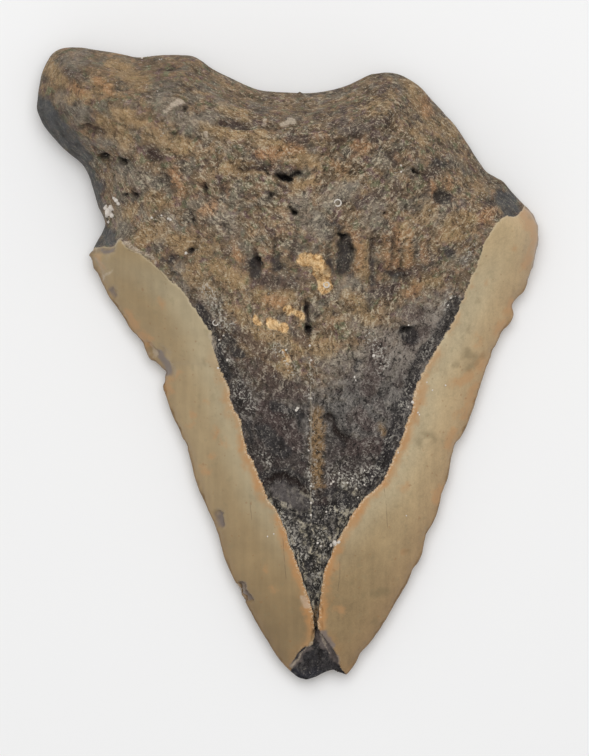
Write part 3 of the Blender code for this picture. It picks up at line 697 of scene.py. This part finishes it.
def skin_mesh(name, skin, fields):
    """One closed mesh: a quad between neighbours of the grid, and a fan of triangles from the tip to
    the first ring and from the dip to the last."""
    rows, ring = skin.shape[:2]
    at = np.arange(rows * ring).reshape(rows, ring)
    after = np.roll(at, -1, axis=1)
    quads = np.dstack([at[:-1], after[:-1], after[1:], at[1:]]).reshape(-1, 4)
    tip, dip = rows * ring, rows * ring + 1
    tip_fan = np.column_stack([np.full(ring, tip), after[0], at[0]])
    dip_fan = np.column_stack([np.full(ring, dip), at[-1], after[-1]])
    data = bpy.data.meshes.new(name)
    faces = quads.tolist() + tip_fan.tolist() + dip_fan.tolist()
    ends = [(*TIP, skin[0, :, 2].mean()), (*DIP, skin[-1, :, 2].mean())]
    data.from_pydata(np.vstack([skin.reshape(-1, 3), ends]) * MM, [], faces)
    for field, values in fields.items():
        with_ends = np.append(values, [values[0].mean(), values[-1].mean()])
        layer = data.attributes.new(field, "FLOAT", "POINT")
        layer.data.foreach_set("value", with_ends.astype(np.float32))
    data.shade_smooth()
    return data


def grown_crystals(skin, upper):
    """Small white crystals, and worm tubes coiled in rings, sitting on the skin.

    A crystal is a squashed ball whose radius swells and shrinks with its angle; a tube is a ring
    carried round a ring."""
    rng = np.random.default_rng(5)
    face = skin[:, upper].reshape(-1, 3)

    def height_at(x, y):
        """The height of the skin's corner nearest to x, y."""
        return face[np.argmin(np.hypot(face[:, 0] - x, face[:, 1] - y)), 2]

    top, bottom = BALL_RINGS * BALL_SIDES, BALL_RINGS * BALL_SIDES + 1
    lat, lon = np.meshgrid(
        np.linspace(0, np.pi, BALL_RINGS + 2)[1:-1],
        np.arange(BALL_SIDES) * 2 * np.pi / BALL_SIDES,
        indexing="ij",
    )
    ball = np.dstack([np.sin(lat) * np.cos(lon), np.sin(lat) * np.sin(lon), np.cos(lat)])
    ball = np.vstack([ball.reshape(-1, 3), [(0, 0, 1), (0, 0, -1)]])
    at = np.arange(top).reshape(BALL_RINGS, BALL_SIDES)
    after = np.roll(at, -1, axis=1)
    ball_faces = np.dstack([at[:-1], at[1:], after[1:], after[:-1]]).reshape(-1, 4).tolist()
    ball_faces += [[top, i, j] for i, j in zip(at[0], after[0])]
    ball_faces += [[bottom, j, i] for i, j in zip(at[-1], after[-1])]
    balls, faces = [], []
    for x, y, radius in CRYSTALS:
        first = len(ball) * len(balls)
        faces += [[first + i for i in corners] for corners in ball_faces]
        lumpy = ball * rng.uniform(*CRYSTAL_SWELL, (len(ball), 1))
        balls.append(lumpy * (radius, radius, CRYSTAL_SQUASH * radius) + (x, y, height_at(x, y)))
    vertices = np.vstack(balls)

    t, s = np.meshgrid(
        np.arange(TUBE_STEPS) * 2 * np.pi / TUBE_STEPS,
        np.arange(TUBE_SIDES) * 2 * np.pi / TUBE_SIDES,
        indexing="ij",
    )
    at = np.arange(TUBE_STEPS * TUBE_SIDES).reshape(TUBE_STEPS, TUBE_SIDES)
    onward = np.roll(at, -1, axis=0)
    quads = np.dstack([at, onward, np.roll(onward, -1, axis=1), np.roll(at, -1, axis=1)])
    for x, y, radius, tube in WORM_TUBES:
        reach = radius + tube * np.cos(s)
        z = height_at(x, y) + tube * np.sin(s)
        faces += (quads.reshape(-1, 4) + len(vertices)).tolist()
        ring = np.dstack([x + reach * np.cos(t), y + reach * np.sin(t), z])
        vertices = np.vstack([vertices, ring.reshape(-1, 3)])
    data = bpy.data.meshes.new("crystals")
    data.from_pydata(vertices * MM, [], faces)
    return data


# ---------------------------------------------------------------- finishes


class Field:
    """A shader socket that is added, subtracted and multiplied as a number is."""

    def __init__(self, finish, socket):
        self.finish = finish
        self.socket = socket

    def _math(self, operation, *values):
        return self.finish.node("ShaderNodeMath", dict(enumerate(values)), operation=operation)

    def __add__(self, other):
        return self._math("ADD", self, other)

    def __sub__(self, other):
        return self._math("SUBTRACT", self, other)

    def __rsub__(self, other):
        return self._math("SUBTRACT", other, self)

    def __mul__(self, other):
        return self._math("MULTIPLY", self, other)

    def __abs__(self):
        return self._math("ABSOLUTE", self)

    __radd__ = __add__
    __rmul__ = __mul__


class Finish:
    """A material, built up from nodes."""

    def __init__(self, name):
        self.material = bpy.data.materials.new(name)
        self.material.use_nodes = True
        self.tree = self.material.node_tree
        self.shader = self.tree.nodes["Principled BSDF"]

    def fill(self, socket, value):
        """Links the socket to a field, or sets it to a constant."""
        if isinstance(value, Field):
            self.tree.links.new(value.socket, socket)
        else:
            socket.default_value = value

    def node(self, kind, values, output=0, **settings):
        """A node of any kind: its settings, then the values or links of its sockets."""
        node = self.tree.nodes.new(kind)
        for setting, value in settings.items():
            setattr(node, setting, value)
        for socket, value in values.items():
            self.fill(node.inputs[socket], value)
        return Field(self, node.outputs[output])

    def put(self, values):
        """The values or links of the material's own shader."""
        for socket, value in values.items():
            self.fill(self.shader.inputs[socket], value)
        return self.material

    def stored(self, name):
        """A field that the mesh carries."""
        return self.node("ShaderNodeAttribute", {}, output=2, attribute_name=name)

    def place(self):
        """The place on the object, as x, y and z in millimetres."""
        coordinates = self.node("ShaderNodeTexCoord", {}, output=3)
        return [
            self.node("ShaderNodeSeparateXYZ", {0: coordinates}, output=axis) * 1000
            for axis in range(3)
        ]

    def vector(self, x, y, z):
        """The place x, y, z as one vector, for noise to read."""
        return self.node("ShaderNodeCombineXYZ", {0: x, 1: y, 2: z})

    def noise(self, place, size, detail, roughness=0.5):
        """Noise about `size` across, with finer noise upon it."""
        values = {"Vector": place, "Scale": 1 / size, "Detail": detail, "Roughness": roughness}
        return self.node("ShaderNodeTexNoise", values)

    def step(self, low, high, value):
        """0 below low and 1 above high, with a smooth step between; from 1 to 0 if low is higher."""
        values = {"Value": value, "From Min": low, "From Max": high}
        if low > high:
            values = {"Value": value, "From Min": high, "From Max": low, "To Min": 1, "To Max": 0}
        return self.node("ShaderNodeMapRange", values, interpolation_type="SMOOTHSTEP")

    def lit(self, colour, factor):
        """The colour made lighter or darker by a factor."""
        return self.node("ShaderNodeVectorMath", {0: colour, "Scale": factor}, operation="SCALE")

    def blend(self, mask, below, above):
        """The colour below where the mask is 0 and the one above where it is 1."""
        return self.node("ShaderNodeMix", {0: mask, 6: below, 7: above}, output=2, data_type="RGBA")

    def layered(self, colour, *layers):
        """The colour under layers, each a mask and the colour that it puts on."""
        for mask, above in layers:
            colour = self.blend(mask, colour, above)
        return colour


def tint(red, green, blue):
    """A colour given as it shows on screen, from 0 to 255, turned into the light it stands for."""
    screen = np.array([red, green, blue]) / 255
    light = np.where(screen > 0.04045, ((screen + 0.055) / 1.055) ** 2.4, screen / 12.92)
    return (*light, 1.0)


# Patches of colour on the brown root: size, how rare, seed, strength and colour.
ROOT_PATCHES = [
    (1.7, 0.56, 5, 0.65, (160, 131, 102)),
    (1.6, 0.55, 17, 0.75, (115, 117, 88)),
    (1.7, 0.56, 29, 0.75, (116, 90, 89)),
    (2.6, 0.55, 23, 0.75, (158, 131, 99)),
    (4.2, 0.52, 37, 0.65, (118, 111, 99)),
    (2.4, 0.56, 51, 0.65, (88, 73, 66)),
    (1.8, 0.59, 63, 0.6, (152, 119, 92)),
]


def tooth_finish():
    """Brown crumbling root, charcoal dentine and olive-tan enamel, told apart by the skin's fields."""
    f = Finish("fossil tooth")
    x, y, z = f.place()
    place = f.vector(x, y, z)
    enamel, rim, dark, hollow_shade = (f.stored(name) for name in ("enamel", "rim", "dark", "hollow_shade"))

    # Fibres: wavy threads that follow the rim near it, run down the crown, and fan out in between.
    lumps = f.noise(place, 2.2, 5, 0.68)
    clouds = f.noise(place, 5, 4, 0.6)
    grit = f.noise(place, 0.34, 2, 0.65)
    bent_x = x + (lumps - 0.5) * 3.2
    bent_y = y + (clouds - 0.5) * 4 + (grit - 0.5) * 0.4
    sand = f.noise(f.vector(bent_x * 0.6, bent_y * 0.85, z), 0.22, 1)
    aside = abs(bent_x - 3)
    round_rim = f.noise(f.vector(bent_x * 0.5, bent_y * 0.5, rim + z * 0.6), 0.62, 3, 0.75)
    downwards = f.noise(f.vector(bent_x, bent_y * 0.38, z * 0.4), 0.6, 3, 0.75)
    fanned = f.noise(f.vector((bent_y - aside) * 0.74, (bent_y + aside) * 0.28, z), 0.6, 3, 0.75)
    fibres = fanned + (downwards - fanned) * f.step(26, 10, y + clouds * 16 - 8)
    fibres = fibres + (round_rim - fibres) * f.step(6, 1.5, rim) * f.step(16, 30, y) * 0.8

    # Single grains, light and dark, on the fibres; crisp is how strongly they show.
    grain = fibres * 0.4 + grit * 0.3 - 0.35
    bits = fibres * 1.45 + grit * 0.45 + sand * 0.55 - 1.225
    crisp = (1 - f.step(-8, -24, x) * f.step(36, 44, y) * 0.6) * (clouds + 0.4)
    crisp = crisp + f.step(2, 12, x) * f.step(26, 16, y) * 0.15
    light_bits = f.step(0.05, 0.22, bits) * crisp
    dark_bits = f.step(-0.06, -0.22, bits) * crisp

    # Where the dentine is charcoal, its plainer right side, and its frosted stretch towards the tip.
    core = f.step(-4.5, 5, dark + (lumps - 0.5) * 8)
    right = f.step(-3, 8, x + clouds * 8 - 4) * f.step(-18, -9, y + clouds * 6 - 3)
    frosted = f.step(-20, -27, y) * f.step(-53, -49, y)

    # How light each place is: the fibres' own tone, painted shade in the hollows and over the top of the
    # root, and a darker right side of the root.
    shade = 1.02 + (grain * (core + 2) + (lumps - 0.5) * 0.9) * (1 - right * core * 0.25)
    shade = shade - hollow_shade * 0.75 - f.step(27, 38, y) * 0.1
    shade = shade - f.step(8, 18, x) * f.step(12, 20, y) * 0.06

    def patches(size, rare, seed):
        """Patches of about this size, which cover less of the surface the rarer they are."""
        field = f.noise(f.vector(x + seed, y - seed, z + seed), size, 3, 0.52)
        return f.step(rare - 0.02, rare + 0.1, field)

    def mask(name, soft, ragged=0.0):
        """A mark's mask, its edge soft and ragged by so many millimetres."""
        distance = f.stored(name)
        if ragged:
            distance = distance + (lumps - 0.5) * (5 * ragged) + grain * (1.5 * ragged)
        return f.step(-soft, soft, distance)

    # The brown root and the charcoal dentine, each under its patches, and then under their marks.
    brown = f.layered(
        f.blend(patches(3.4, 0.5, 11), tint(118, 99, 77), tint(136, 116, 92)),
        *((patches(size, rare, seed) * strength, tint(*colour))
          for size, rare, seed, strength, colour in ROOT_PATCHES),
        (mask("ash", 1.2, 0.6) * 0.55, tint(138, 129, 116)),
        (mask("gold", 1, 0.7) * 0.65, tint(169, 139, 99)),
    )
    left_charcoal = f.blend(f.step(4, -8, y), tint(148, 137, 126), tint(110, 105, 100))
    crumbs = f.noise(f.vector(bent_x, bent_y * 0.5, z), 0.8, 2, 0.6)
    charcoal = f.layered(
        f.blend(right, tint(76, 68, 64), left_charcoal),
        (patches(2.2, 0.55, 5) * 0.5, tint(104, 96, 84)),
        (patches(2.4, 0.55, 83) * 0.6, tint(70, 58, 56)),
        (patches(1.8, 0.56, 29) * (0.55 - right * 0.35), tint(52, 50, 49)),
        (frosted * 0.75, tint(86, 82, 74)),
        (f.step(0.53, 0.6, crumbs) * frosted * 0.9, tint(182, 172, 150)),
        (f.step(0.5, 0.42, crumbs) * frosted * 0.9, tint(28, 26, 26)),
        (f.step(-52, -54.5, y) * 0.85, tint(44, 45, 55)),
    )

    ochre = mask("ochre", 0.25, 0.3)
    # Black marks: dark patches, and painted shade in pits, craters and creases.
    black_and_pit_shade = mask("black", 0.45, 0.3)
    smooth = mask("slate", 0.7, 0.4)
    bare = f.layered(
        f.blend(core, brown, charcoal),
        (mask("plum", 0.7, 0.45) * 0.7, tint(84, 69, 65)),
        (mask("rust", 0.8, 0.35) * f.step(0.25, 0.55, fibres) * 0.8,
         f.blend(core, tint(170, 128, 90), tint(158, 125, 82))),
        (ochre * 0.95, f.blend(f.step(0.4, 0.6, fibres), tint(196, 150, 96), tint(238, 202, 150))),
        (black_and_pit_shade * 0.85, tint(56, 53, 53)),
        (smooth * 0.85, f.blend(core, tint(76, 79, 81), tint(88, 82, 80))),
    )

    # Lit by the shade, which turns warm brown where it runs dark. On it lie loose grains, fewer where it
    # is smooth, painted shade in creases and pits, painted glints scattered about, and white crumbs:
    # frost, and a seam of them down the middle of the crown.
    lightest = f.blend(core, tint(212, 198, 172), tint(164, 156, 147))
    darkest = f.blend(core, tint(46, 36, 28), tint(28, 25, 24))
    rubble = 1 - smooth * 0.7 - ochre * 0.5 - black_and_pit_shade * (1 - core) * 0.5
    grains = f.noise(place, 0.4, 1)
    # Painted glints: scattered white highlights like sparkles on the grains.
    painted_glints = f.step(0.62, 0.72, grains) * (patches(3, 0.5, 97) * 0.6 + frosted * 0.3)
    frost = f.step(0.53, 0.63, grains + (fibres - 0.5) * 0.8) * mask("frost", 0.8, 0.5)
    seam = f.step(0.16, 0.04, abs(x - 4.4 + (lumps - 0.5) * 0.5))
    seam = seam * f.step(-2, -6, y) * f.step(-31, -28, y) * f.step(0.3, 0.55, clouds)
    bare = f.layered(
        # Where the shade runs dark it turns warm brown: painted shade in the crevices.
        f.blend(f.step(0.85, 0.35, shade) * 0.4, f.lit(bare, shade), tint(58, 46, 38)),
        (dark_bits * rubble * (core * 0.12 + 0.66), darkest),
        (light_bits * rubble * (f.step(-55, -53, y) * 0.4 + 0.15), lightest),
        # Painted shade: the creases darkened to a deep brown.
        (mask("crease_shade", 0.5, 0.3) * 0.45, tint(58, 43, 39)),
        # Painted shade: the pits made nearly black.
        (mask("cavity_shade", 0.4, 0.2) * 0.9, tint(24, 20, 18)),
        (painted_glints * (1 - smooth) * 0.7, tint(196, 188, 174)),
        (frost * 0.65, tint(202, 196, 184)),
        (seam * 0.6, tint(176, 166, 148)),
    )

    # Enamel: olive tan, browner and darker towards the tip and the left, with rust at its edges, painted
    # shade along its outer rim, an orange band along its broken inner edge, and pale crumbs on the very
    # edge.
    streaks = f.noise(f.vector(x, y * 0.06, z * 0.2), 1.1, 3)
    mottle = f.noise(place, 4.5, 5, 0.62)
    inner = f.step(7, 1.5, enamel) * f.step(24, 12, y) * f.step(-44, -24, y)
    uneven = (streaks - 0.5) * 0.3 + (mottle - 0.5) * 0.42 + grain * (f.step(0, 8, x) * 0.85 + 0.15)
    specks = f.step(0.7, 0.78, f.noise(place, 0.9, 1))
    low_down = f.step(7, -10, y) * (1 - f.step(-49.5, -53, y) * 0.8)
    band = f.step(2.4, 0.5, enamel + (lumps - 0.5) * 4) * low_down * f.step(0.3, 0.62, clouds)
    coat = f.layered(
        f.blend(f.step(-4, 14, x + y * 0.25), tint(168, 146, 110), tint(187, 164, 126)),
        (f.step(-16, -28, x) * 0.7, tint(150, 127, 90)),
        (f.step(-8, -48, y) * 0.78, tint(141, 117, 81)),
        (f.step(-38, -56, y) * (0.6 - f.step(2, 8, x) * 0.35), tint(124, 104, 74)),
        (inner * 0.45, tint(184, 174, 146)),
        (f.step(7, 0.5, rim) * f.step(-5, 20, x) * 0.4, tint(156, 124, 88)),
        # Painted shade along the outer rim, where the enamel rounds down.
        (f.step(2.2, 0.2, rim) * 0.3, tint(138, 110, 78)),
    )
    coat = f.layered(
        f.lit(coat, 1 + uneven),
        (patches(1.5, 0.6, 43) * 0.2, tint(132, 122, 92)),
        (mask("edge_rust", 0.7, 0.6) * 0.55, tint(184, 138, 92)),
        (mask("smudge", 0.7, 0.5) * 0.5, tint(118, 104, 74)),
        (specks * 0.45, tint(142, 104, 66)),
        # A thin painted shadow line on the very rim.
        (f.step(0.4, 0.1, rim + (grit - 0.5) * 0.4) * 0.5, tint(118, 96, 76)),
        (band * 0.75, tint(184, 132, 80)),
        (f.step(0.5, 0.58, grit) * f.step(0.7, 0.1, enamel) * low_down * 0.6, tint(218, 200, 170)),
        (f.step(0.35, 0.1, enamel) * f.step(6, 12, y) * 0.4, tint(196, 180, 150)),
    )

    # Over both: grey chips, pale crust, and dark hairline cracks above and long splits below.
    hairline = f.step(0.1, 0.03, abs(f.stored("crack"))) * mask("crack_reach", 0.2)
    across = x + (f.noise(f.vector(x * 0.15, y * 0.3, 0), 3, 3) - 0.5) * 4
    split = f.noise(f.vector(across, 0, 0), 3.4, 2)
    broken = f.step(0.5, 0.58, f.noise(f.vector(x, y * 0.1, 9), 3, 2))
    splits = f.step(0.007, 0.002, abs(split - 0.5)) * broken * f.step(2.6, 2, z)
    on_enamel = f.step(-0.06, 0.06, enamel + (grit - 0.5) * 0.3)
    crust = f.lit(tint(200, 184, 164)[:3], grain * 2 + 0.95)
    colour = f.layered(
        f.blend(on_enamel, bare, coat),
        (mask("chip", 0.4, 0.2) * 0.85, tint(122, 111, 106)),
        (mask("pale", 0.2, 0.15) * (0.75 - on_enamel * 0.3), crust),
        (hairline * 0.6 + splits * on_enamel * 0.5, tint(98, 82, 62)),
    )

    rugged = (grain * 0.6 + sand * 0.12 + (lumps - 0.5) * 0.9) * (1 - smooth * 0.6) * (1 - on_enamel)
    height = rugged * (core * 0.5 + 1) + (streaks - 0.5) * 0.05 * on_enamel
    return f.put({
        "Base Color": colour,
        "Roughness": on_enamel * -0.4 + 0.8 + (mottle - 0.5) * 0.1,
        "Coat Weight": on_enamel * 0.25,
        "Coat Roughness": 0.3,
        "Specular IOR Level": 0.25,
        "Normal": f.node("ShaderNodeBump", {"Strength": 0.9, "Distance": MM, "Height": height}),
    })


def crystal_finish():
    """Cloudy white, for the crystals and the worm tubes."""
    f = Finish("white crystal")
    cloudy = f.noise(f.vector(*f.place()), 0.5, 2, 0.55)
    colour = f.blend(cloudy, tint(172, 160, 146), tint(236, 230, 222))
    return f.put({"Base Color": colour, "Roughness": 0.35})


def floor_finish():
    """Matt and nearly white."""
    return Finish("pale floor").put(
        {"Base Color": tint(243, 243, 243), "Roughness": 0.9, "Specular IOR Level": 0.1}
    )


# ---------------------------------------------------------------- building it


def shown(data, material, *, stage=False):
    """The mesh as an object in the scene, with its material."""
    piece = bpy.data.objects.new(data.name, data)
    bpy.context.scene.collection.objects.link(piece)
    data.materials.append(material)
    if stage:
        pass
    else:
        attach(piece, "root")
        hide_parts("tooth")


def build_tooth():
    """The worn skin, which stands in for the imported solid, and what grew on it."""
    skin, fields, upper = worn_skin()
    shown(skin_mesh("worn_tooth", skin, fields), tooth_finish())
    shown(grown_crystals(skin, upper), crystal_finish())


# The view straight down. At the rim's level the render is this many pixels high, of so many mm.
PIXELS_HIGH = 756
PIXEL = 0.19
RIM_LEVEL = 5
VIEW_MIDDLE = (1.3, -2.8)
CAMERA_DISTANCE = 1200
SENSOR = 36

# The stage, in metres.
FLOOR_HALF = 1.5
LAMP_PLACE = (0.02, 0.36, 0.9)
LAMP_SIZE = 1.0
LAMP_ENERGY = 5.6
SKY_STRENGTH = 0.56


def build_stage():
    """A pale floor, a broad soft lamp above the root's side, a filling sky and the camera above."""
    data = bpy.data.meshes.new("floor")
    corners = [(x * FLOOR_HALF, y * FLOOR_HALF, 0) for x, y in ((-1, -1), (1, -1), (1, 1), (-1, 1))]
    data.from_pydata(corners, [], [(0, 1, 2, 3)])
    shown(data, floor_finish(), stage=True)

    lamp = bpy.data.lights.new("soft_lamp", "AREA")
    lamp.shape, lamp.size, lamp.energy = "DISK", LAMP_SIZE, LAMP_ENERGY
    lamp_object = bpy.data.objects.new("soft_lamp", lamp)
    lamp_object.location = LAMP_PLACE
    lamp_object.rotation_euler = (-np.arctan2(*LAMP_PLACE[1:]), 0, 0)
    bpy.context.scene.collection.objects.link(lamp_object)

    world = bpy.data.worlds.new("studio")
    world.use_nodes = True
    sky = world.node_tree.nodes["Background"].inputs
    sky["Color"].default_value = (1, 1, 1, 1)
    sky["Strength"].default_value = SKY_STRENGTH
    bpy.context.scene.world = world
    bpy.context.scene.view_settings.view_transform = "Standard"

    camera = bpy.data.cameras.new("camera")
    camera.sensor_width = SENSOR
    camera.lens = SENSOR * CAMERA_DISTANCE / (PIXELS_HIGH * PIXEL)
    camera_object = bpy.data.objects.new("camera", camera)
    camera_object.location = np.array([*VIEW_MIDDLE, RIM_LEVEL + CAMERA_DISTANCE]) * MM
    bpy.context.scene.collection.objects.link(camera_object)
    bpy.context.scene.camera = camera_object


build_tooth()
build_stage()
